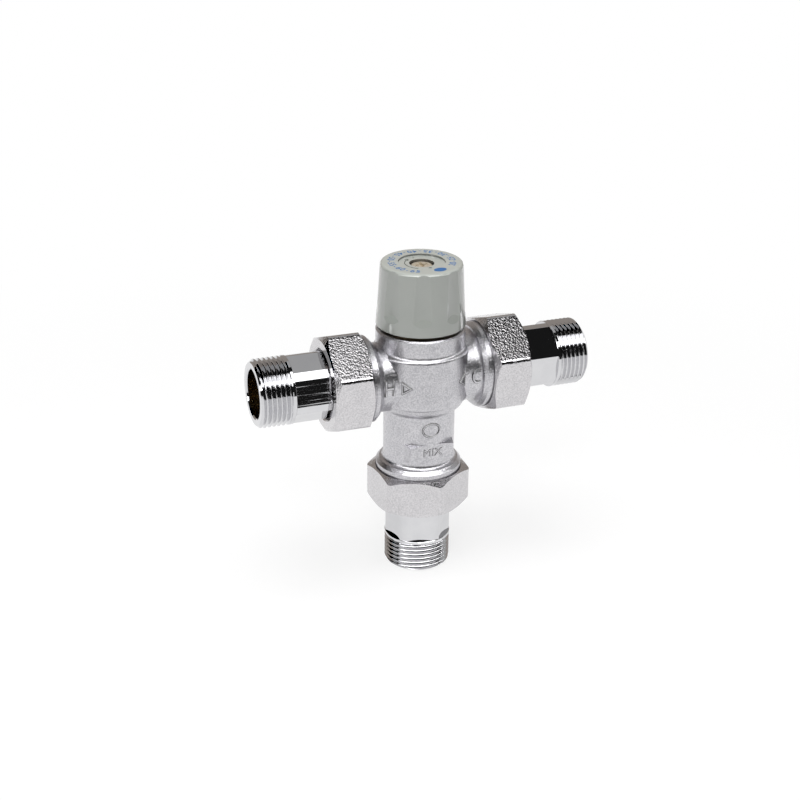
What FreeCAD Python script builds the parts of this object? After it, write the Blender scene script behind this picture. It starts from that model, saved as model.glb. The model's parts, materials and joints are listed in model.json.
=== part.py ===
import FreeCAD, Part
import math
import os

# Thermostatic mixing valve with three union connections, in millimetres.
# The hot inlet points to -X, the cold inlet to +X, the mixed outlet down, and the knob up.
# The origin is the centre of the outlet tail's end face, so the valve stands on z = 0.

V = FreeCAD.Vector
X_AXIS = V(1, 0, 0)
Z_AXIS = V(0, 0, 1)

# ---- driving dimensions -------------------------------------------------------------------
HALF_SPAN = 67.0          # valve centre to an inlet tail's end face
AXIS_HEIGHT = 82.5        # inlet axis above the outlet tail's end face
RUNNING = 0.05            # radial clearance of turning and sliding fits
FREE = 0.25               # clearance of parts that must not touch

# union, measured inwards from the tail's open end
TAIL_R = 13.22            # G 3/4 thread, major radius
TAIL_BORE_R = 9.42
TAIL_THREAD_END = 13.4    # thread and the full round collar behind it
TAIL_FLAT_END = 28.6      # under the nut
TAIL_SHANK_R = 13.0       # turned down behind the collar, where the flats are
TAIL_FLAT_APOTHEM = 12.0
TAIL_CHAMFER = 1.2
NUT_START = 27.1
NUT_LENGTH = 15.6
NUT_ACROSS_FLATS = 36.0
NUT_CORNER_R = 2.5
NUT_RIM_R = 17.4          # where the 30 degree end chamfers start
NUT_HOLE_R = 13.8
NUT_WALL = 2.7            # shoulder that pulls on the tail's flange
FLANGE_R = 14.9
FLANGE_LENGTH = 2.8
GASKET_LENGTH = 2.0
GASKET_BORE_R = 10.8
THREAD_R = 16.6           # G 1 thread, major radius
THREAD_LENGTH = 8.8
COLLAR_R = 16.9
COLLAR_LENGTH = 1.5
CONE_R = 15.6             # small end of the turned cone behind the collar
CONE_LENGTH = 1.4
FLARE_LENGTH = 1.9        # forged flare from the cone down to the branch

SEAT_PLANE = NUT_START + NUT_WALL + FLANGE_LENGTH + GASKET_LENGTH   # where the body's end face is
TUBE_START = SEAT_PLANE + THREAD_LENGTH + COLLAR_LENGTH + CONE_LENGTH + FLARE_LENGTH
BRANCH_REACH = 24.0       # the plain branch runs on inside the collar and the thread

# forged body
BRANCH_R = 13.6
TUBE_R = 14.05
INLET_BORE_R = 9.6
OUTLET_BORE_R = 9.8
HUB_R = 18.9
HUB_TOP_R = 18.6
NECK_R = 17.35
BODY_TOP = 101.4
NECK_BOTTOM = 94.9
SHOULDER_BOTTOM = 92.4
HUB_WIDEST = 76.5
HUB_BOTTOM = 68.6
PAD_ACROSS_FLATS = 27.94  # two forged pads on the outlet tube, front and back
PAD_WIDTH = 18.2
PAD_BOTTOM = 49.8
PAD_TOP = 57.0
WEB_FILLET = 0.8

# regulating chamber
CHAMBER_R = 12.5
COLD_SEAT = 76.0
HOT_SEAT = 88.5
LAND_R = 11.0 + RUNNING
LAND_BOTTOM = 80.0
LAND_TOP = 85.0
SPRING_LEDGE = 60.0
SPRING_LEDGE_THICKNESS = 2.0
SPRING_LEDGE_R = 8.2
BONNET_THREAD_R = 14.4
BONNET_THREAD_BOTTOM = 92.4

# adjusting gear
SPINDLE_R = 4.5
SPINDLE_THREAD_R = 4.0
THREAD_PITCH = 2.0        # lead of the spindle thread: 2 mm of carrier travel a turn
COLLAR_DISC_R = 7.0
KNOB_SEAT = 112.0         # spindle shoulder that the knob is pulled down on to
DRIVE_APOTHEM = 3.7       # twelve-sided drive between spindle and knob
CARRIER_ACROSS_FLATS = 13.0
CARRIER_BOTTOM = 85.0
CARRIER_TOP = 100.5
SPRING_ROOM_R = 5.2
SPRING_ROOM_TOP = 95.5
SHUTTER_R = 11.0
SHUTTER_GAP = 1.2         # shutter to each seat in the middle position
SHUTTER_WEB = 80.6        # underside of the shutter's web

# knob
KNOB_BOTTOM = 102.8
KNOB_TOP = 127.4
KNOB_R = 17.35
KNOB_TOP_R = 15.9
KNOB_EDGE_R = 1.4
KNOB_WALL = 2.0
FLUTES = 8
FLUTE_FIRST_ANGLE = -18.5  # from -Y towards +X
FLUTE_SCOOP_R = 14.4
FLUTE_FLOOR_LOW = 16.05   # floor of a scoop, distance from the axis, at its ledge
FLUTE_FLOOR_HIGH = 15.45  # the same at the knob's top
FLUTE_LEDGE_LOW = 107.0
FLUTE_LEDGE_HIGH = 110.0


# ---- helpers ------------------------------------------------------------------------------
def turned(start, *steps):
    """Solid of revolution about Z. Points are (radius, height); a step that holds two
    points is an arc through the first to the second."""
    edges = []
    here = V(start[0], 0, start[1])
    first = here
    for step in steps:
        if isinstance(step[0], tuple):
            middle = V(step[0][0], 0, step[0][1])
            there = V(step[1][0], 0, step[1][1])
            edges.append(Part.Arc(here, middle, there).toShape())
        else:
            there = V(step[0], 0, step[1])
            edges.append(Part.LineSegment(here, there).toShape())
        here = there
    if (here - first).Length > 1e-6:
        edges.append(Part.LineSegment(here, first).toShape())
    return Part.Face(Part.Wire(edges)).revolve(V(0, 0, 0), Z_AXIS, 360)


def rod(radius, low, high):
    return Part.makeCylinder(radius, high - low, V(0, 0, low))


def ring(outer, inner, low, high):
    return rod(outer, low, high).cut(rod(inner, low - 1, high + 1))


def o_ring(centre_r, wire_r, height):
    return Part.makeTorus(centre_r, wire_r, V(0, 0, height))


def polygon_prism(apothem, sides, low, high, first_flat_angle=0.0):
    """Upright prism; the angle of the first flat's normal is from -Y towards +X."""
    corner_r = apothem / math.cos(math.pi / sides)
    corners = []
    for i in range(sides + 1):
        angle = math.radians(first_flat_angle) + (i + 0.5) * 2 * math.pi / sides
        corners.append(V(corner_r * math.sin(angle), -corner_r * math.cos(angle), low))
    return Part.Face(Part.makePolygon(corners)).extrude(V(0, 0, high - low))


def around(shape, angle):
    """Turns a shape about Z by an angle that is counted from -Y towards +X."""
    copy = shape.copy()
    copy.rotate(V(0, 0, 0), Z_AXIS, angle)
    return copy


def joined(shapes):
    return shapes[0].fuse(list(shapes[1:])).removeSplitter()


def coil(mean_r, wire_r, low, high, turns):
    """Compression spring about Z, with a six-sided wire and sixteen chords a turn."""
    sides = 6
    chords = 16
    steps = int(turns * chords)
    rise = (high - low - 2 * wire_r) / steps
    slope = math.atan2(rise * chords, 2 * math.pi * mean_r)
    points = []
    for i in range(steps + 1):
        turn = 2 * math.pi * i / chords
        radial = V(math.cos(turn), math.sin(turn), 0)
        across = V(math.sin(turn) * math.sin(slope), -math.cos(turn) * math.sin(slope), math.cos(slope))
        centre = radial * mean_r + V(0, 0, low + wire_r + rise * i)
        for k in range(sides):
            side = 2 * math.pi * (k + 0.5) / sides
            points.append(centre + radial * (wire_r * math.cos(side)) + across * (wire_r * math.sin(side)))
    facets = []
    for i in range(steps):
        for k in range(sides):
            a = i * sides + k
            b = i * sides + (k + 1) % sides
            facets.append((a, a + sides, b))
            facets.append((b, a + sides, b + sides))
    last = steps * sides
    for k in range(1, sides - 1):
        facets.append((0, k, k + 1))
        facets.append((last, last + k + 1, last + k))
    shell = Part.Shape()
    shell.makeShapeFromMesh((points, facets), 0.001)
    solid = Part.makeSolid(Part.Shell(shell.Faces))
    if solid.Volume < 0:
        solid.reverse()
    return solid


def at_outlet(shape):
    return shape.copy()


def at_hot_inlet(shape):
    copy = shape.copy()
    copy.rotate(V(0, 0, 0), V(0, 1, 0), 90)
    copy.translate(V(-HALF_SPAN, 0, AXIS_HEIGHT))
    return copy


def at_cold_inlet(shape):
    copy = shape.copy()
    copy.rotate(V(0, 0, 0), V(0, 1, 0), -90)
    copy.translate(V(HALF_SPAN, 0, AXIS_HEIGHT))
    return copy


# ---- unions, in their own frame: open end at z = 0, valve towards +Z --------------------------
CAGE_POCKET_R = 10.6
CAGE_POCKET_START = 17.6
FLANGE_START = NUT_START + NUT_WALL
FLANGE_END = FLANGE_START + FLANGE_LENGTH


def tailpiece(first_flat, with_pocket):
    outer = turned(
        (0, 0), (TAIL_R - TAIL_CHAMFER, 0), (TAIL_R, TAIL_CHAMFER), (TAIL_R, TAIL_THREAD_END),
        (TAIL_SHANK_R, TAIL_THREAD_END), (TAIL_SHANK_R, FLANGE_START), (FLANGE_R, FLANGE_START),
        (FLANGE_R, FLANGE_END), (0, FLANGE_END))
    flats = polygon_prism(TAIL_FLAT_APOTHEM, 6, TAIL_THREAD_END, TAIL_FLAT_END, first_flat)
    slice_of_stock = rod(TAIL_R + 1, TAIL_THREAD_END, TAIL_FLAT_END)
    outer = outer.cut(slice_of_stock.cut(flats))
    bore = turned(
        (0, -1), (TAIL_BORE_R + 1.6, -1), (TAIL_BORE_R, 0.6), (TAIL_BORE_R, FLANGE_END + 1), (0, FLANGE_END + 1))
    piece = outer.cut(bore)
    if with_pocket:
        piece = piece.cut(rod(CAGE_POCKET_R, CAGE_POCKET_START, FLANGE_END + 1))
    return piece


def union_nut(first_flat):
    end = NUT_START + NUT_LENGTH
    reach = NUT_ACROSS_FLATS / 2 / math.cos(math.pi / 6) + 1
    drop = (reach - NUT_RIM_R) * math.tan(math.radians(30))
    prism = polygon_prism(NUT_ACROSS_FLATS / 2, 6, NUT_START, end, first_flat)
    prism = prism.makeFillet(NUT_CORNER_R, [e for e in prism.Edges if abs(e.tangentAt(0).z) > 0.9])
    crown = turned(
        (0, NUT_START), (NUT_RIM_R, NUT_START), (reach, NUT_START + drop), (reach, end - drop),
        (NUT_RIM_R, end), (0, end))
    room = turned(
        (0, NUT_START - 1), (NUT_HOLE_R + 1.5, NUT_START - 1), (NUT_HOLE_R, NUT_START + 0.5),
        (NUT_HOLE_R, FLANGE_START), (THREAD_R + RUNNING, FLANGE_START),
        (THREAD_R + RUNNING, end - 0.5), (THREAD_R + 1.5, end + 1), (0, end + 1))
    return prism.common(crown).cut(room)


def union_gasket():
    return ring(FLANGE_R, GASKET_BORE_R, FLANGE_END, SEAT_PLANE)


def branch_end(branch_r):
    """Thread, collar, turned cone and forged flare at one end of the body."""
    thread_end = SEAT_PLANE + THREAD_LENGTH
    collar_end = thread_end + COLLAR_LENGTH
    cone_end = collar_end + CONE_LENGTH
    flare_end = cone_end + FLARE_LENGTH
    rise = CONE_R - branch_r
    middle = (branch_r + rise * 0.25, cone_end + FLARE_LENGTH * 0.42)
    return turned(
        (0, SEAT_PLANE), (THREAD_R - 0.9, SEAT_PLANE), (THREAD_R, SEAT_PLANE + 0.9), (THREAD_R, thread_end),
        (COLLAR_R, thread_end), (COLLAR_R, collar_end), (CONE_R, cone_end), (middle, (branch_r, flare_end)),
        (branch_r, flare_end + 2), (0, flare_end + 2))


# check valve and strainer, in the pocket of an inlet tail
STRAINER_RIM = 1.2
STRAINER_R = 8.6
STRAINER_TIP = 9.0
STRAINER_WALL = 0.6
CAGE_R = CAGE_POCKET_R - RUNNING
CAGE_START = CAGE_POCKET_START + STRAINER_RIM
CAGE_END = FLANGE_END
CHECK_SEAT_R = 6.4
CHECK_ROOM_R = 9.0
CHECK_TRAVEL = 3.0
POPPET_R = 7.6
POPPET_START = CAGE_START + 1.6
POPPET_THICKNESS = 1.6
STEM_R = 1.6
SPIDER_START = 30.4


def strainer():
    wall = turned(
        (0, STRAINER_TIP), (STRAINER_R, STRAINER_TIP), (STRAINER_R, CAGE_POCKET_START),
        (CAGE_R, CAGE_POCKET_START), (CAGE_R, CAGE_START), (STRAINER_R - STRAINER_WALL, CAGE_START),
        (STRAINER_R - STRAINER_WALL, STRAINER_TIP + STRAINER_WALL), (0, STRAINER_TIP + STRAINER_WALL))
    slot = Part.makeBox(3.0, 2.4, 5.6, V(6.8, -1.2, STRAINER_TIP + 1.6))
    return wall.cut([around(slot, i * 36) for i in range(10)])


def check_cage():
    shell = turned(
        (CHECK_SEAT_R, CAGE_START), (CAGE_R, CAGE_START), (CAGE_R, 23.0), (CAGE_R - 0.9, 23.0),
        (CAGE_R - 0.9, 25.0), (CAGE_R, 25.0), (CAGE_R, CAGE_END), (CHECK_ROOM_R, CAGE_END),
        (CHECK_ROOM_R, POPPET_START - 0.2), (CHECK_SEAT_R, POPPET_START - 0.2))
    hub = ring(3.2, STEM_R + RUNNING, SPIDER_START, CAGE_END)
    arms = [around(Part.makeBox(CHECK_ROOM_R - 2.0, 1.6, CAGE_END - SPIDER_START,
                                V(2.6, -0.8, SPIDER_START)), i * 90) for i in range(4)]
    return joined([shell, hub] + arms)


def check_poppet():
    end = POPPET_START + POPPET_THICKNESS
    return turned(
        (0, POPPET_START - 0.2), (CHECK_SEAT_R + 0.4, POPPET_START - 0.2), (POPPET_R, POPPET_START + 0.5),
        (POPPET_R, end), (STEM_R, end), (STEM_R, CAGE_END - 0.6), (0, CAGE_END - 0.6))


def check_spring():
    return coil(2.6, 0.45, POPPET_START + POPPET_THICKNESS, SPIDER_START, 5)


def check_o_ring():
    return o_ring(CAGE_R - 0.45, 0.45, 24.0)


# ---- body ---------------------------------------------------------------------------------------
def forging():
    """Hub and outlet tube with the side branches, rounded off where the branches grow out of the hub."""
    taper = (HUB_R - HUB_TOP_R) / (SHOULDER_BOTTOM - HUB_WIDEST)
    spare_top = BODY_TOP - 1
    points = [V(TUBE_R, 0, 67.4), V(14.6, 0, 68.9), V(16.6, 0, 70.4), V(18.2, 0, 73.2), V(HUB_R, 0, HUB_WIDEST)]
    cheek = Part.BSplineCurve()
    cheek.interpolate(Points=points, Tangents=[Z_AXIS] * 5, TangentFlags=[True, False, False, False, True])
    corners = [points[-1], V(HUB_R - taper * (spare_top - HUB_WIDEST), 0, spare_top), V(0, 0, spare_top),
               V(0, 0, TUBE_START), V(TUBE_R, 0, TUBE_START), points[0]]
    edges = [Part.LineSegment(a, b).toShape() for a, b in zip(corners[:-1], corners[1:])]
    hub = Part.Face(Part.Wire([cheek.toShape()] + edges)).revolve(V(0, 0, 0), Z_AXIS, 360)
    whole = hub.fuse(side_branches())
    seams = [e for e in whole.Edges if 10 < abs(e.CenterOfMass.x) < 22 and e.BoundBox.YLength > 4]
    rounded = whole.makeFillet(WEB_FILLET, seams)
    above = ring(30, 0.001, SHOULDER_BOTTOM, spare_top + 1)
    return rounded.cut(above)


def side_branches():
    return Part.makeCylinder(BRANCH_R, 2 * BRANCH_REACH, V(-BRANCH_REACH, 0, AXIS_HEIGHT), X_AXIS)


def shoulder_and_neck():
    """The hub rolls over to the thinner neck in two tangent arcs."""
    def shade(share):
        return HUB_TOP_R + (NECK_R - HUB_TOP_R) * share

    def lift(share):
        return SHOULDER_BOTTOM + (NECK_BOTTOM - SHOULDER_BOTTOM) * share
    return turned(
        (0, SHOULDER_BOTTOM - 0.5), (HUB_TOP_R, SHOULDER_BOTTOM - 0.5), (HUB_TOP_R, SHOULDER_BOTTOM),
        ((shade(0.13), lift(0.28)), (shade(0.5), lift(0.5))), ((shade(0.87), lift(0.72)), (NECK_R, NECK_BOTTOM)),
        (NECK_R, BODY_TOP - 0.6), (NECK_R - 0.6, BODY_TOP), (0, BODY_TOP))


def valve_body():
    ends = [at_hot_inlet(branch_end(BRANCH_R)), at_cold_inlet(branch_end(BRANCH_R)), at_outlet(branch_end(TUBE_R))]
    body = joined([forging(), shoulder_and_neck(), side_branches(), wrench_pads()] + ends)
    return body.cut(water_ways())


def wrench_pads():
    """Flat pads, front and back, that stand proud of the outlet tube at their corners; their
    ends have the forging's draft."""
    half = PAD_WIDTH / 2
    face = PAD_ACROSS_FLATS / 2
    outline = [(-half, -face), (half, -face), (half + 1.5, -face / 2), (half + 1.5, face / 2),
               (half, face), (-half, face), (-half - 1.5, face / 2), (-half - 1.5, -face / 2), (-half, -face)]
    pads = Part.Face(Part.makePolygon([V(x, y, PAD_BOTTOM) for x, y in outline]))
    pads = pads.extrude(V(0, 0, PAD_TOP - PAD_BOTTOM))
    draft = turned((0, PAD_BOTTOM), (TUBE_R, PAD_BOTTOM), (17.2, PAD_BOTTOM + 0.4), (17.2, PAD_TOP - 0.7),
                   (TUBE_R, PAD_TOP), (0, PAD_TOP))
    return pads.common(draft)


def water_ways():
    outlet = rod(OUTLET_BORE_R, SPRING_LEDGE, COLD_SEAT + 1)
    ledge_hole = rod(SPRING_LEDGE_R, SEAT_PLANE - 1, SPRING_LEDGE + 1)
    outlet_end = rod(OUTLET_BORE_R, SEAT_PLANE - 1, SPRING_LEDGE - SPRING_LEDGE_THICKNESS)
    chamber = rod(CHAMBER_R, COLD_SEAT, LAND_BOTTOM)
    land = rod(LAND_R, LAND_BOTTOM - 1, LAND_TOP + 1)
    hot_room = rod(CHAMBER_R, LAND_TOP, BONNET_THREAD_BOTTOM)
    neck = rod(BONNET_THREAD_R + RUNNING, BONNET_THREAD_BOTTOM, BODY_TOP + 1)
    inlet = rod(INLET_BORE_R, SEAT_PLANE - 1, HALF_SPAN - 15.0)
    port = rod(INLET_BORE_R, SEAT_PLANE - 1, HALF_SPAN - 9.0)
    hot_port = at_hot_inlet(port).common(Part.makeBox(60, 60, 4.8, V(-60, -30, LAND_TOP)))
    cold_port = at_cold_inlet(port).common(Part.makeBox(60, 60, 4.0, V(0, -30, COLD_SEAT)))
    return joined([outlet, ledge_hole, outlet_end, chamber, land, hot_room, neck,
                   at_hot_inlet(inlet), at_cold_inlet(inlet), hot_port, cold_port])


# ---- regulating parts -----------------------------------------------------------------------------
BONNET_WEB = 103.8
BONNET_NECK_TOP = 111.5
BONNET_FLANGE_R = 14.6


def bonnet():
    outer = turned(
        (0, HOT_SEAT), (CHAMBER_R - RUNNING, HOT_SEAT), (CHAMBER_R - RUNNING, 90.2), (11.3, 90.2),
        (11.3, 91.8), (CHAMBER_R - RUNNING, 91.8), (CHAMBER_R - RUNNING, BONNET_THREAD_BOTTOM),
        (BONNET_THREAD_R, BONNET_THREAD_BOTTOM), (BONNET_THREAD_R, BODY_TOP), (BONNET_FLANGE_R, BODY_TOP),
        (BONNET_FLANGE_R, BODY_TOP + 2.4), (7.6, BODY_TOP + 2.4), (7.6, BONNET_NECK_TOP), (0, BONNET_NECK_TOP))
    spindle_bore = rod(SPINDLE_R + RUNNING, 100, BONNET_NECK_TOP + 1)
    collar_room = rod(COLLAR_DISC_R + FREE, 100, BONNET_WEB)
    guide = polygon_prism(CARRIER_ACROSS_FLATS / 2 + 0.1, 6, 90, 101.6)
    mouth = turned((0, HOT_SEAT - 1), (9.7, HOT_SEAT - 1), (9.7, 89.6), (7.6, 92.0), (0, 92.0))
    return outer.cut([spindle_bore, collar_room, guide, mouth])


def bonnet_o_ring():
    return o_ring(11.85, 0.55, 91.0)


def spindle():
    shaft = turned(
        (0, 96.4), (SPINDLE_THREAD_R - 0.5, 96.4), (SPINDLE_THREAD_R, 96.9), (SPINDLE_THREAD_R, 101.6),
        (COLLAR_DISC_R, 101.6), (COLLAR_DISC_R, BONNET_WEB - 0.1), (SPINDLE_R, BONNET_WEB - 0.1),
        (SPINDLE_R, 106.8), (3.2, 106.8), (3.2, 108.4), (SPINDLE_R, 108.4), (SPINDLE_R, KNOB_SEAT),
        (SPINDLE_THREAD_R, KNOB_SEAT), (SPINDLE_THREAD_R, 121.8), (SPINDLE_THREAD_R - 0.5, 122.3), (0, 122.3))
    drive = polygon_prism(DRIVE_APOTHEM, 12, KNOB_SEAT, 122.3)
    shank = rod(SPINDLE_THREAD_R + 1, KNOB_SEAT, 122.4)
    return shaft.cut(shank.cut(drive)).cut(rod(2.0, 110.5, 123))


def spindle_o_ring():
    return o_ring(3.85, 0.62, 107.6)


def adjusting_carrier():
    bar = polygon_prism(CARRIER_ACROSS_FLATS / 2, 6, CARRIER_BOTTOM, CARRIER_TOP)
    room = turned((0, CARRIER_BOTTOM - 1), (SPRING_ROOM_R, CARRIER_BOTTOM - 1), (SPRING_ROOM_R, 85.7),
                  (5.7, 85.7), (5.7, 86.7), (SPRING_ROOM_R, 86.7), (SPRING_ROOM_R, SPRING_ROOM_TOP), (0, SPRING_ROOM_TOP))
    return bar.cut([room, rod(SPINDLE_THREAD_R + RUNNING, 90, CARRIER_TOP + 1)])


def cup_clip():
    return ring(5.65, 4.3, 85.8, 86.6).cut(Part.makeBox(4, 2, 2, V(3, -1, 85.2)))


def spring_cup():
    return turned((0, 86.7), (2.6, 86.7), (5.1, 86.7), (5.1, 87.7), (3.5, 87.7), (3.5, 90.6), (3.0, 91.2),
                  (2.4, 91.2), (2.4, 88.6), (0, 88.6))


def overtravel_spring():
    return coil(4.42, 0.6, 87.7, SPRING_ROOM_TOP, 4)


def element_pin():
    return turned((0, 77.5), (1.5, 77.5), (1.5, 86.4), (1.2, 86.7), (0, 86.7))


def wax_element():
    outer = turned(
        (0, 60.8), (5.4, 60.8), (6.2, 61.6), (6.2, 79.0), (7.9, 79.0), (7.9, SHUTTER_WEB), (3.2, SHUTTER_WEB),
        (3.2, 84.6), (0, 84.6))
    return outer.cut(rod(1.5 + RUNNING, 75.0, 86))


def shutter():
    low = COLD_SEAT + SHUTTER_GAP
    high = HOT_SEAT - SHUTTER_GAP
    sleeve = turned(
        (9.4, low), (SHUTTER_R - 0.3, low), (SHUTTER_R, low + 0.5), (SHUTTER_R, 81.8), (10.1, 81.8),
        (10.1, 83.2), (SHUTTER_R, 83.2), (SHUTTER_R, high - 0.5), (SHUTTER_R - 0.3, high), (9.4, high))
    web = ring(9.6, 3.2, SHUTTER_WEB, SHUTTER_WEB + 2.0)
    windows = []
    for i in range(4):
        sector = ring(8.3, 4.9, 80, 83).common(Part.makeBox(12, 12, 4, V(0, 0, 79.5)))
        rib = Part.makeBox(14, 1.6, 4, V(0, 0, 79.5))
        side = Part.makeBox(1.6, 14, 4, V(0, 0, 79.5))
        windows.append(around(sector.cut([rib, side]), i * 90))
    return joined([sleeve, web]).cut(windows)


def shutter_o_ring():
    return o_ring(10.52, 0.42, 82.5)


def return_spring():
    return coil(8.85, 0.5, SPRING_LEDGE, SHUTTER_WEB, 5)


# ---- knob -----------------------------------------------------------------------------------------
KNOB_WEB_LOW = 122.4
RECESS_R = 9.0
RECESS_DEPTH = 0.7
SCREW_HOLE_R = 4.7
SCREW_HEAD_R = 4.3
SCREW_SEAT = 124.2
SCREW_TOP = 126.1


def knob_side_r(height):
    share = (height - KNOB_BOTTOM) / (KNOB_TOP - KNOB_EDGE_R - KNOB_BOTTOM)
    return KNOB_R + (KNOB_TOP_R - KNOB_R) * share


def flute_cutter():
    """One scoop: a large round cutter, leaning inwards, that ends in a sloping ledge."""
    lean = math.degrees(math.atan2(FLUTE_FLOOR_LOW - FLUTE_FLOOR_HIGH, KNOB_TOP - FLUTE_LEDGE_HIGH))
    cutter = Part.makeCylinder(FLUTE_SCOOP_R, 40, V(0, 0, -10))
    cutter.rotate(V(0, 0, 0), X_AXIS, -lean)
    cutter.translate(V(0, -(FLUTE_FLOOR_LOW + FLUTE_SCOOP_R), FLUTE_LEDGE_HIGH))
    depth = knob_side_r(FLUTE_LEDGE_LOW) - FLUTE_FLOOR_LOW
    slope = math.degrees(math.atan2(FLUTE_LEDGE_HIGH - FLUTE_LEDGE_LOW, depth))
    ledge = Part.makeBox(60, 60, 30, V(-30, -60, -30))
    ledge.rotate(V(0, 0, 0), X_AXIS, slope)
    ledge.translate(V(0, -FLUTE_FLOOR_LOW, FLUTE_LEDGE_HIGH))
    return cutter.cut(ledge)


def control_knob():
    outer = turned(
        (0, KNOB_BOTTOM), (KNOB_R - 0.3, KNOB_BOTTOM), (KNOB_R, KNOB_BOTTOM + 0.3),
        (KNOB_TOP_R, KNOB_TOP - KNOB_EDGE_R),
        ((KNOB_TOP_R - KNOB_EDGE_R * 0.293, KNOB_TOP - KNOB_EDGE_R * 0.293), (KNOB_TOP_R - KNOB_EDGE_R, KNOB_TOP)),
        (0, KNOB_TOP))
    cutter = flute_cutter()
    outer = outer.cut([around(cutter, FLUTE_FIRST_ANGLE + i * 360.0 / FLUTES) for i in range(FLUTES)])
    hollow = turned(
        (0, KNOB_BOTTOM - 1), (15.3, KNOB_BOTTOM - 1), (15.3, 106.2), (13.9, 108.5), (13.4, KNOB_WEB_LOW - 1.5),
        (11.9, KNOB_WEB_LOW), (0, KNOB_WEB_LOW))
    boss = rod(6.4, KNOB_SEAT, KNOB_WEB_LOW + 0.5)
    ribs = [around(Part.makeBox(9, 1.4, 8, V(5.5, -0.7, KNOB_WEB_LOW - 7.6)), 22.5 + i * 90) for i in range(4)]
    shell = outer.cut(hollow)
    inside = joined([boss] + ribs).common(turned((0, 100), (13.6, 100), (13.6, 124), (0, 124)))
    shell = joined([shell, inside])
    drive = polygon_prism(DRIVE_APOTHEM + RUNNING, 12, KNOB_SEAT - 1, KNOB_WEB_LOW)
    recess = rod(RECESS_R, KNOB_TOP - RECESS_DEPTH, KNOB_TOP + 1)
    screw_room = rod(SCREW_HOLE_R, SCREW_SEAT, KNOB_TOP + 1)
    return shell.cut([drive, recess, screw_room, rod(2.3, 120, KNOB_TOP + 1)])


def knob_screw():
    body = turned(
        (0, 113.0), (1.5, 113.0), (1.95, 113.6), (1.95, SCREW_SEAT), (SCREW_HEAD_R, SCREW_SEAT),
        (SCREW_HEAD_R, SCREW_TOP - 0.7), ((SCREW_HEAD_R - 0.3, SCREW_TOP - 0.25), (SCREW_HEAD_R - 1.0, SCREW_TOP)),
        (0, SCREW_TOP))
    arm = Part.makeBox(4.8, 1.0, 1.5, V(-2.4, -0.5, SCREW_TOP - 1.3))
    return body.cut([arm, around(arm, 90)])


# ---- write every piece -----------------------------------------------------------------------------
def pieces():
    parts = {"valve_body": valve_body()}
    sides = (("hot", at_hot_inlet, -12.4, -52.5), ("cold", at_cold_inlet, 54.2, 50.0),
             ("mixed", at_outlet, 44.0, 35.0))
    for side, place, tail_flat, nut_flat in sides:
        parts[side + "_union_nut"] = place(union_nut(nut_flat))
        parts[side + "_tailpiece"] = place(tailpiece(tail_flat, side != "mixed"))
        parts[side + "_gasket"] = place(union_gasket())
    for side, place in (("hot", at_hot_inlet), ("cold", at_cold_inlet)):
        parts[side + "_strainer"] = place(strainer())
        parts[side + "_check_cage"] = place(check_cage())
        parts[side + "_check_poppet"] = place(check_poppet())
        parts[side + "_check_spring"] = place(check_spring())
        parts[side + "_check_o_ring"] = place(check_o_ring())
    for make in (bonnet, bonnet_o_ring, spindle, spindle_o_ring, adjusting_carrier, cup_clip, spring_cup,
                 overtravel_spring, element_pin, wax_element, shutter, shutter_o_ring, return_spring,
                 control_knob, knob_screw):
        parts[make.__name__] = make()
    return parts


os.makedirs("parts", exist_ok=True)
for name, shape in pieces().items():
    solid = shape.Solids[0]
    solid.exportStep("parts/" + name + ".step")
    print(name, len(shape.Solids), "solid", "valid" if solid.isValid() else "INVALID", round(solid.Volume, 1))
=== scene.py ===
import json
import math

import bpy
from mathutils import Matrix, Vector


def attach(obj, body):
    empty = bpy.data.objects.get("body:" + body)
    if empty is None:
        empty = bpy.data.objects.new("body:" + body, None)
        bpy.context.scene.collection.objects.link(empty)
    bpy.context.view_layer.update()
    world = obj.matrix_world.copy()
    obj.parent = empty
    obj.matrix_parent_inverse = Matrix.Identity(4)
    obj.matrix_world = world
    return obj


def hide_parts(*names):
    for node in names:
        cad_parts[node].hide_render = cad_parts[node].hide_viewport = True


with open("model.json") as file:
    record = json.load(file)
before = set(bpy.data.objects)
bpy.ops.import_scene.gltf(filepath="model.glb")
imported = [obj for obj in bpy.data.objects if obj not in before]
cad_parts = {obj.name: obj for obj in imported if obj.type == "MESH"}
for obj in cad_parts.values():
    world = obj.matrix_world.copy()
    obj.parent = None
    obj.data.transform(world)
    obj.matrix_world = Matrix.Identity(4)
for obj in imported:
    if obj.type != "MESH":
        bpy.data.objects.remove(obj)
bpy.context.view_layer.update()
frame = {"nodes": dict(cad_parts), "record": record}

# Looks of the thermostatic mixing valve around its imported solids. The hot inlet points to -X, the
# cold inlet to +X, the mixed outlet down. Blender's lengths are metres; the named sizes below are
# millimetres, and MM turns them into metres.

MM = 0.001
SAME_PLACE = 0.002 * MM     # corners nearer than this are one corner
HALF_SPAN = 67.0            # valve centre to an inlet tail's open end
AXIS_HEIGHT = 82.5          # inlet axis above the outlet tail's open end
KNOB_TOP = 127.4
RECESS_FLOOR = 126.7        # bottom of the round recess in the knob's top
RECESS_R = 9.0
SCREW_HOLE_R = 4.76         # edge of the painted shade in the hole round the knob's screw


# ---- materials ------------------------------------------------------------------------------
class Wire:
    """One output of a shader node. Arithmetic on wires adds Math nodes."""

    def __init__(self, graph, socket):
        self.graph = graph
        self.socket = socket

    def maths(self, operation, *terms):
        return self.graph.node("ShaderNodeMath", {"operation": operation}, dict(enumerate(terms)))

    def __add__(self, other):
        return self.maths("ADD", self, other)

    def __sub__(self, other):
        return self.maths("SUBTRACT", self, other)

    def __rsub__(self, other):
        return self.maths("SUBTRACT", other, self)

    def __mul__(self, other):
        return self.maths("MULTIPLY", self, other)

    def __gt__(self, other):
        return self.maths("GREATER_THAN", self, other)

    __radd__ = __add__
    __rmul__ = __mul__


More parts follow.
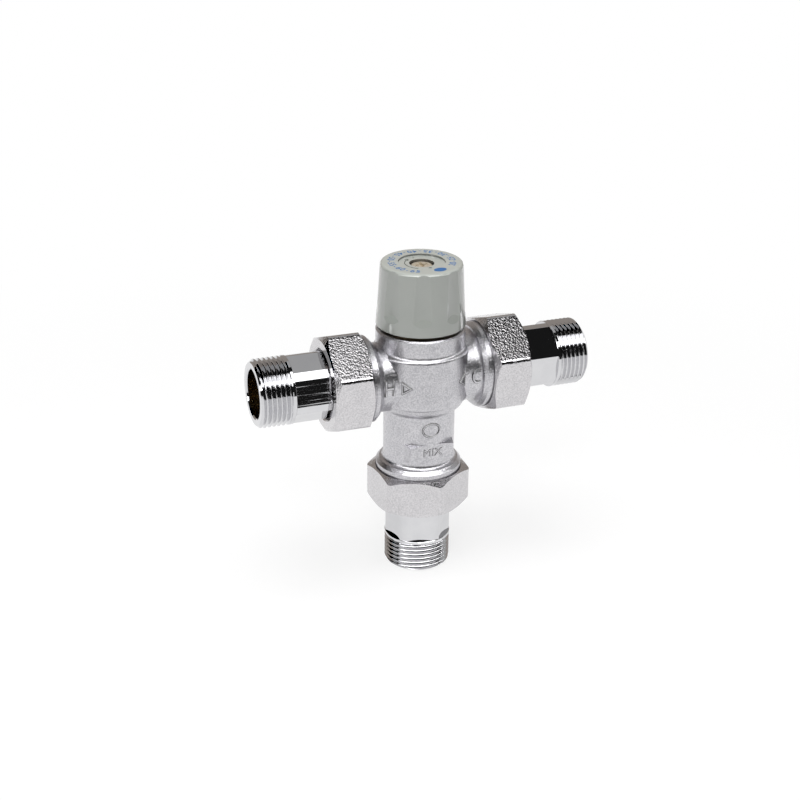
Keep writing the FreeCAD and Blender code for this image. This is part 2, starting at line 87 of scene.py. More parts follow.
class Graph:
    """A node tree being built."""

    def __init__(self, tree):
        self.tree = tree

    def node(self, kind, settings=None, inputs=None, output=0):
        """Adds a node; inputs are constants or Wires, and a Wire of the chosen output comes back."""
        made = self.tree.nodes.new(kind)
        for name, value in (settings or {}).items():
            if name == "stops":
                ramp = made.color_ramp.elements
                while len(ramp) < len(value):
                    ramp.new(0.5)
                for stop, (place, colour) in zip(ramp, value):
                    stop.position = place
                    stop.color = colour
            else:
                setattr(made, name, value)
        for name, value in (inputs or {}).items():
            if isinstance(value, Wire):
                self.tree.links.new(value.socket, made.inputs[name])
            else:
                made.inputs[name].default_value = value
        return Wire(self, made.outputs[output])

    def place(self):
        return self.node("ShaderNodeTexCoord", output="Object")

    def axes(self):
        """X, Y and Z of the place on the object."""
        apart = self.node("ShaderNodeSeparateXYZ", {}, {0: self.place()}).socket.node
        return [Wire(self, socket) for socket in apart.outputs]

    def noise(self, size_mm, detail=2.0, roughness=0.5, vector=None):
        """Noise, from 0 to 1, with features of about size_mm."""
        inputs = {"Vector": vector or self.place(), "Scale": 1000.0 / size_mm, "Detail": detail,
                  "Roughness": roughness}
        return self.node("ShaderNodeTexNoise", {}, inputs)

    def mix(self, share, first, second):
        return self.node("ShaderNodeMix", {"data_type": "RGBA"}, {0: share, 6: first, 7: second}, 2)

    def ramp(self, value, *stops):
        return self.node("ShaderNodeValToRGB", {"stops": stops}, {"Fac": value})

    def bump(self, height, distance_mm, strength=1.0):
        return self.node("ShaderNodeBump", {}, {"Height": height, "Distance": distance_mm * MM,
                                                "Strength": strength})

    def seen(self):
        """1 for rays from the camera, a mirror or glass, and 0 for rays that only carry light."""
        rays = [self.node("ShaderNodeLightPath", output="Is %s Ray" % kind)
                for kind in ("Camera", "Glossy", "Transmission")]
        return rays[0].maths("MAXIMUM", rays[0].maths("MAXIMUM", rays[0], rays[1]), rays[2])


class Finish(Graph):
    """A material being built: its Principled shader and the nodes that feed it."""

    def __init__(self, name, **constants):
        self.material = bpy.data.materials.new(name)
        self.material.use_nodes = True
        super().__init__(self.material.node_tree)
        self.shader = self.tree.nodes["Principled BSDF"]
        for socket, value in constants.items():
            self.shader.inputs[socket.replace("_", " ")].default_value = value

    def feed(self, socket, wire):
        self.tree.links.new(wire.socket, self.shader.inputs[socket])

    def show(self, wire):
        """Makes this shader the surface, in place of the Principled one."""
        self.tree.links.new(wire.socket, self.tree.nodes["Material Output"].inputs["Surface"])


def grey(value):
    return (value, value, value, 1.0)


def forged_chrome():
    """Satin chrome plate over a blasted forging: a fine grain that blurs what it reflects."""
    f = Finish("forged_chrome", Metallic=1.0)
    grain = f.noise(0.72, 2.0, 0.6)
    speck = f.noise(0.55, 1.0)
    patches = f.noise(6.0, 2.0)
    shade = f.ramp(speck * 0.75 + patches * 0.25,
                   (0.36, (0.450, 0.447, 0.470, 1)), (0.64, (0.655, 0.646, 0.668, 1)))
    f.feed("Base Color", shade)
    f.feed("Roughness", patches * 0.06 + 0.26)
    f.feed("Normal", f.bump(grain, 0.14))
    return f.material


def painted_slope_shade():
    """The same plate on the sloping sides of raised marks, darkened as painted shade so that the marks
    show dark outlines.
    """
    f = Finish("painted_slope_shade", Metallic=1.0)
    grain = f.noise(0.6, 2.0)
    f.feed("Base Color", f.mix(grain, grey(0.10), grey(0.22)))
    f.feed("Roughness", grain * 0.15 + 0.25)
    return f.material


def pebbled_chrome():
    """Chrome plate over the nuts' coarse forged skin: bright pebbles with dark sides."""
    f = Finish("pebbled_chrome", Metallic=1.0)
    pebble = f.noise(0.78, 1.5, 0.55)
    worn = f.noise(7.0, 2.0)
    speck = f.noise(0.5, 1.0)
    shade = f.ramp(speck * 0.8 + worn * 0.2,
                   (0.34, (0.520, 0.510, 0.525, 1)), (0.62, (0.660, 0.648, 0.662, 1)))
    f.feed("Base Color", shade)
    f.feed("Roughness", worn * 0.05 + 0.12)
    f.feed("Normal", f.bump(pebble, 0.125))
    return f.material


def bright_chrome(name, along):
    """Mirror chrome plate over turned brass; `along` stretches the tool marks along one axis."""
    f = Finish(name, Metallic=1.0)
    haze = f.noise(5.0, 3.0)
    scale = [1.0, 1.0, 1.0]
    scale["XYZ".index(along)] = 0.04
    drawn = f.node("ShaderNodeMapping", {}, {"Vector": f.place(), "Scale": tuple(scale)})
    streaks = f.noise(1.3, 2.0, 0.5, drawn)
    f.feed("Base Color", f.mix(haze, (0.60, 0.60, 0.62, 1), (0.68, 0.68, 0.69, 1)))
    f.feed("Roughness", haze * 0.04 + 0.03)
    f.feed("Normal", f.bump(streaks, 0.035))
    return f.material


def bare_brass():
    """Machined brass that the plating didn't reach, a little dull, its colour darkened as painted shade
    inside the bores.
    """
    f = Finish("bare_brass", Metallic=1.0)
    stain = f.noise(3.0, 3.0)
    # painted shade: the base colour is kept dark for the bore; the stain noise is the metal's own tone
    f.feed("Base Color", f.mix(stain, (0.20, 0.145, 0.07, 1), (0.42, 0.33, 0.18, 1)))
    f.feed("Roughness", stain * 0.12 + 0.10)
    f.feed("Normal", f.bump(f.noise(0.8), 0.02))
    return f.material


def knob_plastic():
    """Grey-green moulded plastic with a soft gloss, with painted shade in the hole round the screw and a
    painted shadow along the recess wall.
    """
    f = Finish("knob_plastic", Coat_Weight=1.0, Coat_Roughness=0.09, Coat_IOR=1.75)
    cloud = f.noise(9.0, 2.0)
    plain = f.mix(cloud, (0.440, 0.465, 0.432, 1), (0.485, 0.510, 0.475, 1))
    across = f.node("ShaderNodeVectorMath", {"operation": "MULTIPLY"}, {0: f.place(), 1: (1, 1, 0)})
    reach = f.node("ShaderNodeVectorMath", {"operation": "LENGTH"}, {0: across}, output=1)
    height = f.axes()[2]
    on_top = height > (KNOB_TOP - 3.9) * MM
    # painted shade: the hole round the screw is darkened to stand for its shadow
    hole = on_top * (1.0 - (reach > SCREW_HOLE_R * MM))
    # painted shadow: a thin ring at the foot of the recess wall is darkened
    rim = ((reach > (RECESS_R - 0.15) * MM) * (1.0 - (reach > (RECESS_R + 0.02) * MM))
           * (1.0 - (height > (KNOB_TOP - 0.04) * MM)))
    hole_and_wall_shade = hole * 0.93 + on_top * rim * 0.7
    f.feed("Base Color", f.mix(hole_and_wall_shade, plain, (0.035, 0.03, 0.025, 1)))
    f.feed("Roughness", cloud * 0.08 + 0.30)
    f.feed("Normal", f.bump(f.noise(0.5, 2.0), 0.01))
    return f.material


def steel_wire():
    f = Finish("steel_wire", Metallic=1.0)
    f.feed("Base Color", f.mix(f.noise(1.5), grey(0.42), grey(0.58)))
    f.feed("Roughness", f.noise(0.8) * 0.15 + 0.22)
    return f.material


def strainer_mesh():
    """Woven steel mesh of the strainers: pale wires round gaps painted dark as the shade seen through
    them, across Y and Z.
    """
    f = Finish("strainer_mesh", Metallic=1.0)
    half_step = 0.45 * MM
    half_wire = 0.16 * MM
    x, y, z = f.axes()
    gap = ((y.maths("PINGPONG", y, half_step) > half_wire)
           * (z.maths("PINGPONG", z, half_step) > half_wire))
    # painted shade: the gaps are near black in place of real openings
    f.feed("Base Color", f.mix(gap, grey(0.55), grey(0.03)))
    f.feed("Roughness", f.noise(0.8) * 0.15 + 0.25)
    f.feed("Normal", f.bump(1.0 - gap, 0.15))
    return f.material


def yellow_zinc():
    """Passivated screw: pale gold over steel, with a stain that varies at random."""
    f = Finish("yellow_zinc", Metallic=0.6)
    stain = f.noise(1.2, 3.0)
    f.feed("Base Color", f.mix(stain, (0.60, 0.50, 0.36, 1), (0.86, 0.80, 0.68, 1)))
    f.feed("Roughness", stain * 0.2 + 0.20)
    return f.material


def seal_rubber():
    f = Finish("seal_rubber")
    cloud = f.noise(2.0)
    f.feed("Base Color", f.mix(cloud, grey(0.012), grey(0.03)))
    f.feed("Roughness", cloud * 0.2 + 0.5)
    f.feed("Normal", f.bump(f.noise(0.3), 0.01))
    return f.material


def gasket_sheet():
    f = Finish("gasket_sheet")
    fibre = f.noise(0.6, 3.0)
    f.feed("Base Color", f.mix(fibre, (0.03, 0.045, 0.04, 1), (0.07, 0.09, 0.08, 1)))
    f.feed("Roughness", fibre * 0.2 + 0.6)
    f.feed("Normal", f.bump(fibre, 0.03))
    return f.material


def white_acetal():
    f = Finish("white_acetal")
    cloud = f.noise(4.0)
    f.feed("Base Color", f.mix(cloud, (0.68, 0.68, 0.65, 1), (0.74, 0.74, 0.71, 1)))
    f.feed("Roughness", cloud * 0.1 + 0.35)
    f.feed("Normal", f.bump(f.noise(0.5), 0.01))
    return f.material


def blue_ink():
    f = Finish("blue_ink")
    cover = f.noise(0.35, 2.0)
    f.feed("Base Color", f.mix(cover, (0.02, 0.085, 0.25, 1), (0.05, 0.17, 0.40, 1)))
    f.feed("Roughness", cover * 0.1 + 0.45)
    return f.material


def painted_groove_shade():
    """The knob's plastic where a moulded line lies deep, darkened as painted shade of the groove."""
    f = Finish("painted_groove_shade")
    cloud = f.noise(1.0, 2.0)
    f.feed("Base Color", f.mix(cloud, (0.07, 0.078, 0.07, 1), (0.13, 0.14, 0.125, 1)))
    f.feed("Roughness", cloud * 0.1 + 0.5)
    return f.material


def gap_shade_brass():
    """Brass of the bonnet, darkened as painted shade where it shows in the gap under the knob."""
    f = Finish("gap_shade_brass", Metallic=1.0)
    stain = f.noise(2.0, 3.0)
    # painted shade: very dark base colour for the shadowed gap
    f.feed("Base Color", f.mix(stain, (0.07, 0.05, 0.03, 1), (0.16, 0.12, 0.07, 1)))
    f.feed("Roughness", stain * 0.15 + 0.45)
    return f.material


FORGED = forged_chrome()
PEBBLED = pebbled_chrome()
SHADED = painted_slope_shade()
BRIGHT = bright_chrome("bright_chrome", "X")
BRIGHT_UPRIGHT = bright_chrome("bright_chrome_upright", "Z")
BRASS = bare_brass()
KNOB = knob_plastic()
STEEL = steel_wire()
MESH = strainer_mesh()
ZINC = yellow_zinc()
RUBBER = seal_rubber()
GASKET = gasket_sheet()
ACETAL = white_acetal()
INK = blue_ink()
SHADE = painted_groove_shade()
GAP_SHADE_BRASS = gap_shade_brass()

SLOT_FINISH = {"satin_chrome": FORGED, "polished_chrome": BRIGHT, "knob_plastic": KNOB, "brass": BRASS,
               "steel": STEEL, "seal_rubber": RUBBER, "gasket_fibre": GASKET, "white_acetal": ACETAL}

SPECIAL_FINISH = {"hot_strainer": MESH, "cold_strainer": MESH, "knob_screw": ZINC, "bonnet": GAP_SHADE_BRASS,
                  "hot_union_nut": PEBBLED, "cold_union_nut": PEBBLED, "mixed_union_nut": PEBBLED}


def dress_solids():
    """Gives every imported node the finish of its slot."""
    for part in frame["record"]["subparts"]:
        node = frame["nodes"][part["node"]]
        finish = SPECIAL_FINISH.get(part["node"], SLOT_FINISH[part["material_slot"]])
        for held in node.material_slots:
            held.material = finish


# ---- modelling helpers ------------------------------------------------------------------------
def alone(obj):
    """Selects only this object and makes it the active one."""
    bpy.ops.object.select_all(action="DESELECT")
    obj.select_set(True)
    bpy.context.view_layer.objects.active = obj
    return obj


def outline(name, points):
    """An object of one open edge line in the XZ plane; points are (radius, height) in mm."""
    mesh = bpy.data.meshes.new(name)
    mesh.from_pydata([(r * MM, 0, z * MM) for r, z in points],
                     [(i, i + 1) for i in range(len(points) - 1)], [])
    obj = bpy.data.objects.new(name, mesh)
    bpy.context.scene.collection.objects.link(obj)
    return alone(obj)


def tidy_mesh(obj):
    """Joins corners that lie in one place, and turns every face outwards."""
    alone(obj)
    bpy.ops.object.mode_set(mode="EDIT")
    bpy.ops.mesh.select_all(action="SELECT")
    bpy.ops.mesh.remove_doubles(threshold=SAME_PLACE)
    bpy.ops.mesh.normals_make_consistent(inside=False)
    bpy.ops.object.mode_set(mode="OBJECT")
    return obj


def join_all(pieces):
    """Makes one object of several; it keeps the first one's name."""
    alone(pieces[0])
    for piece in pieces[1:]:
        piece.select_set(True)
    bpy.ops.object.join()
    return pieces[0]


def turn(name, points, steps):
    """Spins an outline about Z; it is left open where the outline is."""
    obj = outline(name, points)
    bpy.ops.object.mode_set(mode="EDIT")
    bpy.ops.mesh.select_all(action="SELECT")
    bpy.ops.mesh.spin(steps=steps, angle=2 * math.pi, center=(0, 0, 0), axis=(0, 0, 1))
    bpy.ops.object.mode_set(mode="OBJECT")
    return tidy_mesh(obj)


def add_modifier(obj, kind, **settings):
    """Applies a modifier at once."""
    modifier = obj.modifiers.new(kind.lower(), kind)
    for name, value in settings.items():
        setattr(modifier, name, value)
    alone(obj)
    bpy.ops.object.modifier_apply(modifier=modifier.name)


def cut(obj, tool):
    """Takes the tool's shape out of the object and throws the tool away."""
    add_modifier(obj, "BOOLEAN", operation="DIFFERENCE", object=tool, solver="EXACT")
    bpy.data.objects.remove(tool)


def hexagon(apothem, low, high, first_flat):
    """Upright hexagonal bar; the first flat's angle is from -Y towards +X, in degrees."""
    bpy.ops.object.select_all(action="DESELECT")
    bpy.ops.mesh.primitive_cylinder_add(
        vertices=6, radius=apothem / math.cos(math.pi / 6) * MM, depth=(high - low) * MM,
        location=(0, 0, (low + high) / 2 * MM), rotation=(0, 0, math.radians(first_flat + 30)))
    return bpy.context.object


def settle(obj):
    """Leaves the object at the origin with its place in its mesh."""
    alone(obj)
    bpy.ops.object.transform_apply(location=True, rotation=True, scale=True)
    return obj


def move_to_side(obj, side):
    """From the tail's own frame, open end at z = 0, to its end of the valve."""
    if side != "mixed":
        way = -1 if side == "hot" else 1
        end = Matrix.Translation((way * HALF_SPAN * MM, 0, AXIS_HEIGHT * MM))
        obj.data.transform(end @ Matrix.Rotation(math.radians(-90 * way), 4, "Y"))


# ---- threaded tails ---------------------------------------------------------------------------
# Radii, and heights measured from the open end.
BORE_R = 9.42
BORE_CHAMFER = 0.5
THREAD_PITCH = 1.814
THREAD_R = 13.22
LEAD_IN_R = 12.0            # ring that the thread grows from at the open end
THREAD_END = 12.3
THREAD_TURNS = 11           # more than the tail needs; what stands past either end is pressed flat
# Half of one ridge, from the root up: height along the tail, radius.
THREAD_FORM = [(0, 12.1), (0.13, 12.22), (0.25, 12.42), (0.38, 12.607), (0.51, 12.793), (0.64, 12.98),
               (0.78, 13.15), (THREAD_PITCH / 2, THREAD_R)]
COLLAR_END = 13.4
COLLAR_CHAMFER = 0.15
FLAT_END = 28.6
SHANK_R = 13.0
FLAT_APOTHEM = 12.0
FLANGE_START = 29.8
FLANGE_END = 32.6
FLANGE_R = 14.9
POCKET_R = 10.6
POCKET_START = 17.6
TAIL_STEPS = 144            # corners round a tail; the thread's skin has as many, so that they meet
TAIL_FLATS = {"hot": -12.4, "cold": 54.2, "mixed": 44.0}    # where the first flat lies, in degrees


def thread_skin():
    """The pipe thread alone, from a plain ring at the open end to a plain ring at the collar."""
    ridge = [(r, z) for z, r in THREAD_FORM]
    ridge += [(r, THREAD_PITCH - z) for z, r in reversed(THREAD_FORM[:-1])]
    skin = outline("thread_skin", [(r, z - 2 * THREAD_PITCH) for r, z in ridge])
    add_modifier(skin, "SCREW", screw_offset=THREAD_PITCH * MM, iterations=THREAD_TURNS,
                 steps=TAIL_STEPS, render_steps=TAIL_STEPS, use_merge_vertices=False)
    for v in skin.data.vertices:
        reach = v.co.to_2d().length
        height = min(max(v.co.z / MM, 0), THREAD_END)
        run_out = THREAD_R - (THREAD_END - height)
        radius = min(max(reach / MM, run_out), LEAD_IN_R + height)
        grown = radius * MM / reach
        v.co = (v.co.x * grown, v.co.y * grown, height * MM)
    return skin


def sharpen_flats(mesh):
    """Keeps the edges of the wrench flats crisp, so that each flat mirrors as a flat."""
    bounds = (set(), set())
    for face in mesh.polygons:
        within = COLLAR_END * MM < face.center.z < FLAT_END * MM
        reach = face.center.to_2d().length / MM
        flat = within and FLAT_APOTHEM - 0.1 < reach < SHANK_R - 0.05
        bounds[flat].update(face.edge_keys)
    for edge in mesh.edges:
        if edge.key in bounds[0] and edge.key in bounds[1]:
            edge.use_edge_sharp = True


def threaded_tail(side):
    """Tailpiece with its pipe thread, six wrench flats and, at an inlet, the pocket inside."""
    bore = [(BORE_R, FLANGE_END)]
    if side != "mixed":
        bore = [(POCKET_R, FLANGE_END), (POCKET_R, POCKET_START), (BORE_R, POCKET_START)]
    outside = [
        (THREAD_R, THREAD_END), (THREAD_R, COLLAR_END - COLLAR_CHAMFER),
        (THREAD_R - COLLAR_CHAMFER, COLLAR_END), (SHANK_R, COLLAR_END), (SHANK_R, FLAT_END),
        (SHANK_R, FLANGE_START), (FLANGE_R, FLANGE_START), (FLANGE_R, FLANGE_END)]
    mouth = [(BORE_R, BORE_CHAMFER), (BORE_R + BORE_CHAMFER, 0), (LEAD_IN_R, 0)]
    tail = turn(side + "_threaded_tail", outside + bore + mouth, TAIL_STEPS)
    tidy_mesh(join_all([tail, thread_skin()]))
    waste = turn("flat_waste", [
        (8, COLLAR_END), (15, COLLAR_END), (15, FLAT_END), (8, FLAT_END), (8, COLLAR_END)], 48)
    cut(waste, settle(hexagon(FLAT_APOTHEM, COLLAR_END - 1, FLAT_END + 1, TAIL_FLATS[side])))
    cut(tail, waste)
    alone(tail)
    bpy.ops.object.shade_smooth_by_angle(angle=math.radians(38))
    sharpen_flats(tail.data)
    tail.data.materials.append(BRIGHT_UPRIGHT if side == "mixed" else BRIGHT)
    tail.data.materials.append(BRASS)
    corners = tail.data.vertices
    for face in tail.data.polygons:
        rim = max(corners[v].co.to_2d().length for v in face.vertices)
        bare = rim < (BORE_R + 0.05) * MM and face.center.z > (BORE_CHAMFER + 0.2) * MM
        face.material_index = int(bare)
    move_to_side(tail, side)
    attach(tail, "valve")
    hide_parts(side + "_tailpiece")
    return tail


# ---- raised marks on the forging -----------------------------------------------------------------
HUB_R = 18.9
BRANCH_R = 13.6
TUBE_R = 14.05
PAD_FACE = 13.97            # front of the outlet tube's wrench pad, from the tube's axis
CAPITAL_SHARE = 0.69        # a capital's height over the font's size
LETTER_WIDTH = 0.76         # H and C are narrower than the font's
EDGE_BEVEL = 0.32


def lettering(name, words, height, thick, bevel, swell):
    """Words as a mesh, flat in XY and centred; capitals are `height` tall and their strokes
    `swell` fatter on each side, in mm."""
    bpy.ops.object.select_all(action="DESELECT")
    bpy.ops.object.text_add(location=(0, 0, 0))
    text = bpy.context.object
    text.name = name
    text.data.body = words
    text.data.size = height / CAPITAL_SHARE * MM
    text.data.align_x = "CENTER"
    text.data.align_y = "CENTER"
    text.data.space_character = 1.12
    text.data.offset = swell * MM
    text.data.extrude = thick / 2 * MM
    text.data.bevel_depth = bevel * MM
    text.data.bevel_resolution = 0
    bpy.ops.object.convert(target="MESH")
    return tidy_mesh(settle(bpy.context.object))


def hollow_frame(name, corners, across, tall, line, thick):
    """A raised outline: a flat many-sided ring, `line` wide, flat in XY and centred."""
    bpy.ops.object.select_all(action="DESELECT")
    bpy.ops.mesh.primitive_circle_add(vertices=corners, radius=MM, fill_type="NGON", location=(0, 0, 0))
    frame_piece = bpy.context.object
    frame_piece.name = name
    low = [min(v.co[i] for v in frame_piece.data.vertices) for i in (0, 1)]
    high = [max(v.co[i] for v in frame_piece.data.vertices) for i in (0, 1)]
    for v in frame_piece.data.vertices:
        v.co.x = ((v.co.x - low[0]) / (high[0] - low[0]) - 0.5) * across * MM
        v.co.y = ((v.co.y - low[1]) / (high[1] - low[1]) - 0.5) * tall * MM
        v.co.z = -thick / 2 * MM
    bpy.ops.object.mode_set(mode="EDIT")
    bpy.ops.mesh.select_all(action="SELECT")
    bpy.ops.mesh.inset(thickness=line * MM)
    bpy.ops.mesh.delete(type="FACE")
    bpy.ops.mesh.select_all(action="SELECT")
    bpy.ops.mesh.extrude_region_move(TRANSFORM_OT_translate={"value": (0, 0, thick * MM)})
    bpy.ops.object.mode_set(mode="OBJECT")
    tidy_mesh(frame_piece)
    add_modifier(frame_piece, "BEVEL", width=EDGE_BEVEL * MM, segments=1, limit_method="ANGLE")
    return frame_piece


def lay_on_tube(mark, radius, azimuth, height):
    """Wraps a flat mark on an upright cylinder; azimuth is from -Y towards +X, in degrees."""
    for v in mark.data.vertices:
        angle = math.radians(azimuth) + v.co.x / (radius * MM)
        out = radius * MM + v.co.z
        v.co = (out * math.sin(angle), -out * math.cos(angle), height * MM + v.co.y)


def lay_on_branch(mark, centre_x, height):
    """Wraps a flat mark on the front of an inlet branch."""
    lift = math.asin((height - AXIS_HEIGHT) / BRANCH_R)
    for v in mark.data.vertices:
        angle = lift + v.co.y / (BRANCH_R * MM)
        out = BRANCH_R * MM + v.co.z
        v.co = (centre_x * MM + v.co.x, -out * math.cos(angle), AXIS_HEIGHT * MM + out * math.sin(angle))


def lay_on_pad(mark, centre_x, height):
    """Stands a flat mark on the front of the wrench pad."""
    for v in mark.data.vertices:
        v.co = (centre_x * MM + v.co.x, -PAD_FACE * MM - v.co.z, height * MM + v.co.y)


def slopes_of(mark):
    """Numbers of the faces that slope down from a flat mark's top."""
    return [face.index for face in mark.data.polygons if abs(face.normal.z) < 0.9]


def finish_mark(mark, finish, body, slopes=()):
    """Gives a mark its finish, with painted shade on its slopes, and ties it to a body and a slot."""
    alone(mark)
    mark.data.materials.clear()
    mark.data.materials.append(finish)
    if slopes:
        # the slopes get the darker finish as painted shade
        mark.data.materials.append(SHADED)
    for index in slopes:
        mark.data.polygons[index].material_index = 1
    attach(mark, body)


def forged_marks():
    """H and C at the inlets, MIX at the outlet, and the arrows of flow towards the middle."""
    marks = [lettering("hot_letter", "H", 5.9, 0.55, EDGE_BEVEL, -0.05),
             lettering("cold_letter", "C", 5.6, 0.55, EDGE_BEVEL, -0.05),
             lettering("mixed_letters", "MIX", 2.9, 0.2, 0.18, -0.06),
             hollow_frame("blank_oval", 32, 7.8, 6.4, 0.9, 0.7)]
    slopes = [slopes_of(mark) for mark in marks]
    for letter in marks[:2]:
        for v in letter.data.vertices:
            v.co.x *= LETTER_WIDTH
    lay_on_branch(marks[0], -17.3, 82.8)
    lay_on_branch(marks[1], 18.3, 82.9)
    lay_on_pad(marks[2], 0.4, 53.6)
    lay_on_tube(marks[3], TUBE_R, -1.0, 63.2)
    for name, azimuth, way in (("hot_arrow", -35.7, 1), ("cold_arrow", 38.0, -1)):
        arrow = hollow_frame(name, 3, 6.0, 4.6, 0.95, 0.9)
        slopes.append(slopes_of(arrow))
        for v in arrow.data.vertices:
            v.co.x, v.co.y = v.co.y * way, -v.co.x * way
        lay_on_tube(arrow, HUB_R - 0.05, azimuth, 82.7)
        marks.append(arrow)
    for mark, slope in zip(marks, slopes):
        finish_mark(mark, FORGED, "valve", slope)


# ---- print on the knob -----------------------------------------------------------------------------
PRINT_R = 11.9              # middle of the printed numbers
NUMBER_STEP = 30            # degrees from one number to the next
PRINT_THICK = 0.03
MOULDED_R = 6.45            # middle of the moulded arrow's line
MOULDED_THICK = 0.18


def lay_on_knob(mark, radius, azimuth, floor):
    """Puts a flat mark on the knob's top, its head towards the middle."""
    turn_by = Matrix.Rotation(math.radians(azimuth), 4, "Z")
    mark.data.transform(turn_by @ Matrix.Translation((0, -radius * MM, floor * MM)))


def arched(mark, radius):
    """Bends a flat mark along the ring that it is printed on."""
    for v in mark.data.vertices:
        angle = v.co.x / (radius * MM)
        reach = radius * MM - v.co.y
        v.co.x = reach * math.sin(angle)
        v.co.y = radius * MM - reach * math.cos(angle)


def printed_scale():
    """A plain scale of degrees in blue, with dashes between the numbers and a plain blue dot."""
    marks = []
    for i in range(10):
        number = lettering("printed_scale", str(65 - 5 * i), 2.5, PRINT_THICK, 0.0, 0.05)
        arched(number, PRINT_R)
        lay_on_knob(number, PRINT_R, -33 - NUMBER_STEP * i, KNOB_TOP)
        marks.append(number)
        if i < 9:
            dash = lettering("dash", "-", 2.3, PRINT_THICK, 0.0, 0.04)
            lay_on_knob(dash, PRINT_R, -33 - NUMBER_STEP * (i + 0.5), KNOB_TOP)
            marks.append(dash)
    bpy.ops.object.select_all(action="DESELECT")
    bpy.ops.mesh.primitive_cylinder_add(vertices=48, radius=MM, depth=PRINT_THICK * MM, location=(0, 0, 0))
    dot = bpy.context.object
    for v in dot.data.vertices:
        v.co.x *= 2.6
        v.co.y *= 1.9
    arched(dot, PRINT_R)
    lay_on_knob(dot, 11.4, 15.6, KNOB_TOP)
    marks.append(dot)
    finish_mark(join_all(marks), INK, "knob")


def turning_arrow():
    """The moulded arrow round the screw, with plus and minus at its ends."""
    start = math.radians(-33)
    inner, outer = MOULDED_R - 0.15, MOULDED_R + 0.15
    low, high = RECESS_FLOOR - 0.1, RECESS_FLOOR + 0.08
    arrow = outline("turning_arrow", [(inner, low), (inner, high), (outer, high), (outer, low),
                                      (inner, low)])
    bpy.ops.object.mode_set(mode="EDIT")
    bpy.ops.mesh.select_all(action="SELECT")
    bpy.ops.mesh.spin(steps=40, angle=math.radians(107), center=(0, 0, 0), axis=(0, 0, 1))
    bpy.ops.mesh.select_all(action="SELECT")
    bpy.ops.mesh.remove_doubles(threshold=SAME_PLACE)
    bpy.ops.mesh.select_all(action="DESELECT")
    bpy.ops.mesh.select_non_manifold()
    bpy.ops.mesh.edge_face_add()
    bpy.ops.object.mode_set(mode="OBJECT")
    arrow.data.transform(Matrix.Rotation(start - math.pi / 2, 4, "Z"))
    bpy.ops.object.select_all(action="DESELECT")
    bpy.ops.mesh.primitive_cylinder_add(vertices=3, radius=1.0 * MM, depth=MOULDED_THICK * MM,
                                        location=(0, 0, 0), rotation=(0, 0, math.radians(-30)))
    head = settle(bpy.context.object)
    lay_on_knob(head, MOULDED_R, -142.0, RECESS_FLOOR)
    plus = lettering("plus", "+", 1.9, MOULDED_THICK, 0.0, 0.02)
    lay_on_knob(plus, MOULDED_R - 0.05, 9.0, RECESS_FLOOR)
    minus = lettering("minus", "-", 1.9, MOULDED_THICK, 0.0, 0.02)
    lay_on_knob(minus, MOULDED_R - 0.05, -172.0, RECESS_FLOOR)
    tidy_mesh(join_all([arrow, head, plus, minus]))
    # the arrow's line is dark as painted shade of a deep moulded groove
    finish_mark(arrow, SHADE, "knob")


# ---- floor, light and camera ------------------------------------------------------------------
DOME_R = 1.3
DOME_HEIGHT = 0.08
NEAR_FLOOR, FAR_FLOOR = 0.12, 0.40      # the floor fades to white between these distances
ROOM_LIGHT = 0.08                       # the room's own light on surfaces; seen directly it is 1
VALVE_MIDDLE = Vector((0, 0, 0.075))
CAMERA_TURN, CAMERA_RISE, CAMERA_ROLL = -21.0227, 24.3931, 0.7277      # degrees
CAMERA_AWAY = 0.5657
CAMERA_AIM = Vector((-0.008054, 0, 0.07131))
CAMERA_LENS, CAMERA_SENSOR = 65.25, 36.0


def pale_floor():
    """A pale table that keeps the valve's shadow near it and fades to white further out."""
    bpy.ops.object.select_all(action="DESELECT")
    bpy.ops.mesh.primitive_plane_add(size=6.0, location=(0, 0, -0.0002))
    floor = bpy.context.object
    floor.name = "pale_floor"
    f = Finish("pale_floor", Roughness=0.9)
    seen = f.seen()
    away = f.node("ShaderNodeVectorMath", {"operation": "LENGTH"}, {0: f.place()}, output=1)
    far = f.node("ShaderNodeMapRange", {"interpolation_type": "SMOOTHSTEP"},
                 {"Value": away, "From Min": NEAR_FLOOR, "From Max": FAR_FLOOR})
    f.feed("Base Color", f.mix(f.noise(400.0), grey(0.39), grey(0.41)))
    lift = f.node("ShaderNodeEmission", {}, {"Color": grey(1.0), "Strength": seen * 0.63})
    near = f.node("ShaderNodeAddShader", {}, {0: Wire(f, f.shader.outputs[0]), 1: lift})
    white = f.node("ShaderNodeEmission", {}, {"Color": grey(1.0), "Strength": 1.0})
    f.show(f.node("ShaderNodeMixShader", {}, {0: (far * 0.6 + 0.4) * seen, 1: near, 2: white}))
    floor.data.materials.append(f.material)


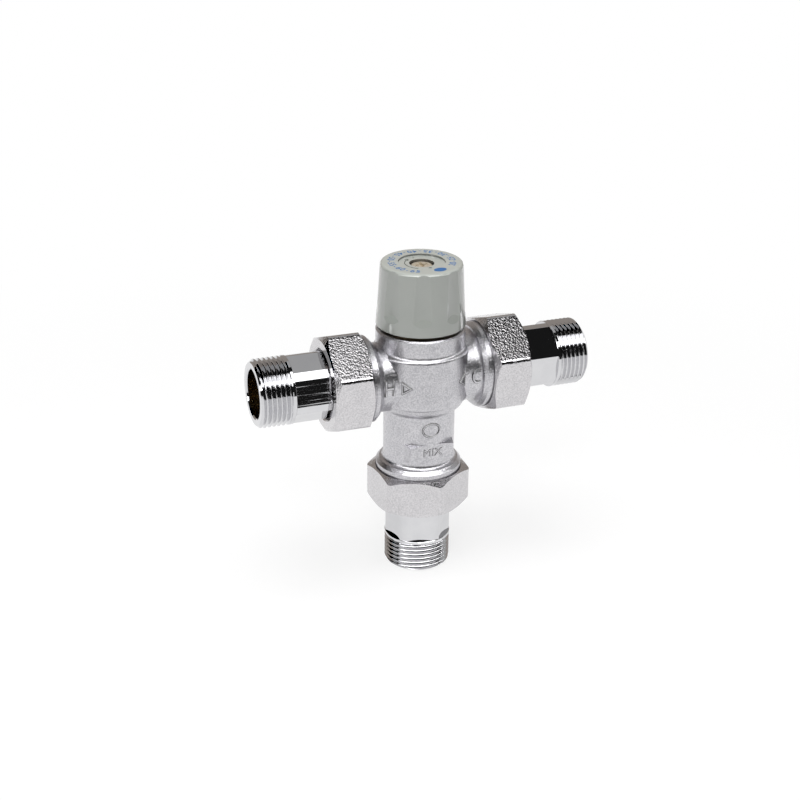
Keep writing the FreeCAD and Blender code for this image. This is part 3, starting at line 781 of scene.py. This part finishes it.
def reflected_screens():
    """A dome that only reflections see: a soft box above the front, a wall behind, a table below."""
    bpy.ops.object.select_all(action="DESELECT")
    bpy.ops.mesh.primitive_uv_sphere_add(segments=96, ring_count=64, radius=DOME_R,
                                         location=(0, 0, DOME_HEIGHT))
    dome = settle(bpy.context.object)
    dome.name = "reflected_screens"
    f = Finish("reflected_screens")
    x, y, z = f.axes()
    # Degrees from the front's horizon, up over the top to the back.
    angle = z.maths("ARCTAN2", z - DOME_HEIGHT, 0.0 - y) * (180 / math.pi)
    # The soft box gets shorter from the hot side to the cold side.
    box_top = z.maths("MINIMUM", z.maths("MAXIMUM", 80.0 - (x - 0.337) * 79.0, 60.0), 80.0)
    soft_box = (angle > 43.0) * (1.0 - (angle > box_top))
    core = soft_box * (angle > 52.0) * (1.0 - (angle > 57.0))
    wall = (angle > 100.0 - (x - 0.257) * 15.0) * (x + 0.8 > 0.0)
    far_wall = angle > 128.0
    table = 1.0 - (angle > -2.0)
    level = soft_box * 2.4 + core * 5.5 + wall * 0.46 - far_wall * 0.12 + table * 0.8 + 0.012
    colour = f.mix(far_wall, grey(1.0), (1.0, 0.90, 0.82, 1))
    f.show(f.node("ShaderNodeEmission", {}, {"Color": colour, "Strength": level}))
    dome.data.materials.append(f.material)
    dome.visible_camera = False
    dome.visible_diffuse = False
    dome.visible_shadow = False


def pale_room():
    """A world that looks white and lights surfaces only a little."""
    world = bpy.data.worlds.new("pale_room")
    bpy.context.scene.world = world
    world.use_nodes = True
    room = Graph(world.node_tree)
    backdrop = world.node_tree.nodes["Background"]
    backdrop.inputs["Color"].default_value = grey(1.0)
    strength = room.seen() * (1.0 - ROOM_LIGHT) + ROOM_LIGHT
    room.tree.links.new(strength.socket, backdrop.inputs["Strength"])


def lamp(name, place, energy, size):
    """A round lamp aimed at the valve's middle, which mirrors don't show."""
    data = bpy.data.lights.new(name, "AREA")
    data.energy = energy
    data.size = size
    data.shape = "DISK"
    obj = bpy.data.objects.new(name, data)
    obj.location = place
    obj.rotation_euler = (VALVE_MIDDLE - Vector(place)).to_track_quat("-Z", "Y").to_euler()
    obj.visible_glossy = False
    bpy.context.scene.collection.objects.link(obj)


def camera():
    """A little above the valve, from the hot side of its front."""
    azimuth, elevation, roll = (math.radians(a) for a in (CAMERA_TURN, CAMERA_RISE, CAMERA_ROLL))
    back = Vector((math.sin(azimuth) * math.cos(elevation), -math.cos(azimuth) * math.cos(elevation),
                   math.sin(elevation)))
    right = Vector((math.cos(azimuth), math.sin(azimuth), 0))
    up = back.cross(right)
    across = math.cos(roll) * right + math.sin(roll) * up
    upward = math.cos(roll) * up - math.sin(roll) * right
    data = bpy.data.cameras.new("camera")
    data.lens = CAMERA_LENS
    data.sensor_width = CAMERA_SENSOR
    data.clip_start = 0.01
    obj = bpy.data.objects.new("camera", data)
    turned = Matrix((across, upward, back)).transposed().to_4x4()
    obj.matrix_world = Matrix.Translation(CAMERA_AIM + back * CAMERA_AWAY) @ turned
    bpy.context.scene.collection.objects.link(obj)
    bpy.context.scene.camera = obj


dress_solids()
for side in ("hot", "cold", "mixed"):
    threaded_tail(side)
forged_marks()
printed_scale()
turning_arrow()
pale_floor()
reflected_screens()
pale_room()
lamp("key_lamp", (-0.1, -0.12, 1.05), 9.6, 0.8)
lamp("front_lamp", (-0.35, -0.75, 0.85), 2.8, 0.3)
camera()
bpy.context.scene.view_settings.view_transform = "Standard"
